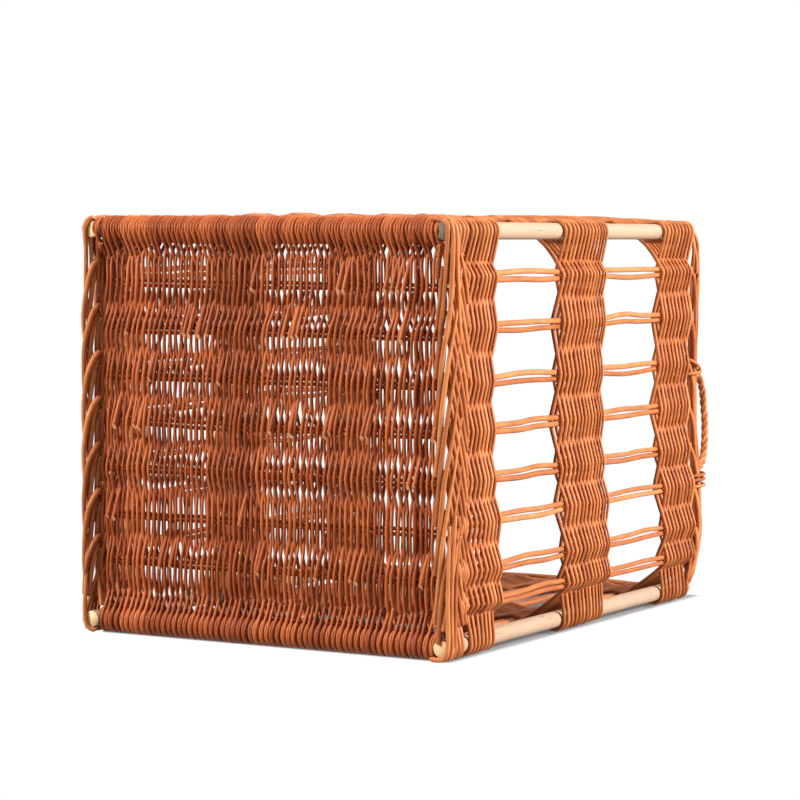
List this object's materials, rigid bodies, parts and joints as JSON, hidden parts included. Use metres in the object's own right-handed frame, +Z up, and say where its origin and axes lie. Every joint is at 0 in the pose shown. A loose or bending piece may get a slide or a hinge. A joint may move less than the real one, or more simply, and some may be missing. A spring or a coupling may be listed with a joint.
{
  "type": "baguette basket",
  "caption": "Square open-top wicker basket, lying on its side: peeled corner posts, paired willow stakes, woven base, openwork banded walls and twisted rim handles, for standing baguettes.",
  "frame": {"origin": "centre of the footprint on the floor, with the basket lying on one side wall as pictured", "axes": "+Z up, +Y from the woven base to the open mouth, +X out of the wall that carries the handle seen in the picture"},
  "size_m": [0.4087, 0.5937, 0.403],
  "materials": {
    "willow_weave": "satin",
    "willow_rod": "satin",
    "peeled_wood": "matte"
  },
  "bodies": {
    "root": {"bottom_left_post": "peeled_wood", "top_left_post": "peeled_wood", "bottom_right_post": "peeled_wood", "top_right_post": "peeled_wood", "base_bottom_stick": "peeled_wood", "base_top_stick": "peeled_wood", "base_stakes_1": "willow_rod", "base_stakes_2": "willow_rod", "base_stakes_3": "willow_rod", "base_stakes_4": "willow_rod", "base_stakes_5": "willow_rod", "base_stakes_6": "willow_rod", "base_stakes_7": "willow_rod", "right_stakes_1": "willow_rod", "right_stakes_2": "willow_rod", "right_stakes_3": "willow_rod", "right_stakes_4": "willow_rod", "right_stakes_5": "willow_rod", "right_stakes_6": "willow_rod", "right_stakes_7": "willow_rod", "right_stakes_8": "willow_rod", "top_stakes_1": "willow_rod", "top_stakes_2": "willow_rod", "top_stakes_3": "willow_rod", "top_stakes_4": "willow_rod", "top_stakes_5": "willow_rod", "top_stakes_6": "willow_rod", "top_stakes_7": "willow_rod", "left_stakes_1": "willow_rod", "left_stakes_2": "willow_rod", "left_stakes_3": "willow_rod", "left_stakes_4": "willow_rod", "left_stakes_5": "willow_rod", "left_stakes_6": "willow_rod", "left_stakes_7": "willow_rod", "bottom_stakes_1": "willow_rod", "bottom_stakes_2": "willow_rod", "bottom_stakes_3": "willow_rod", "bottom_stakes_4": "willow_rod", "bottom_stakes_5": "willow_rod", "bottom_stakes_6": "willow_rod", "bottom_stakes_7": "willow_rod", "base_left_border": "willow_rod", "base_right_border": "willow_rod", "rim_border": "willow_rod", "right_handle": "willow_rod", "left_handle": "willow_rod", "right_lower_band": "willow_weave", "right_middle_band": "willow_weave", "right_rim_band": "willow_weave", "top_lower_band": "willow_weave", "top_middle_band": "willow_weave", "top_rim_band": "willow_weave", "left_lower_band": "willow_weave", "left_middle_band": "willow_weave", "left_rim_band": "willow_weave", "bottom_lower_band": "willow_weave", "bottom_middle_band": "willow_weave", "bottom_rim_band": "willow_weave", "base_weave": "willow_weave"}
  },
  "joints": []
}
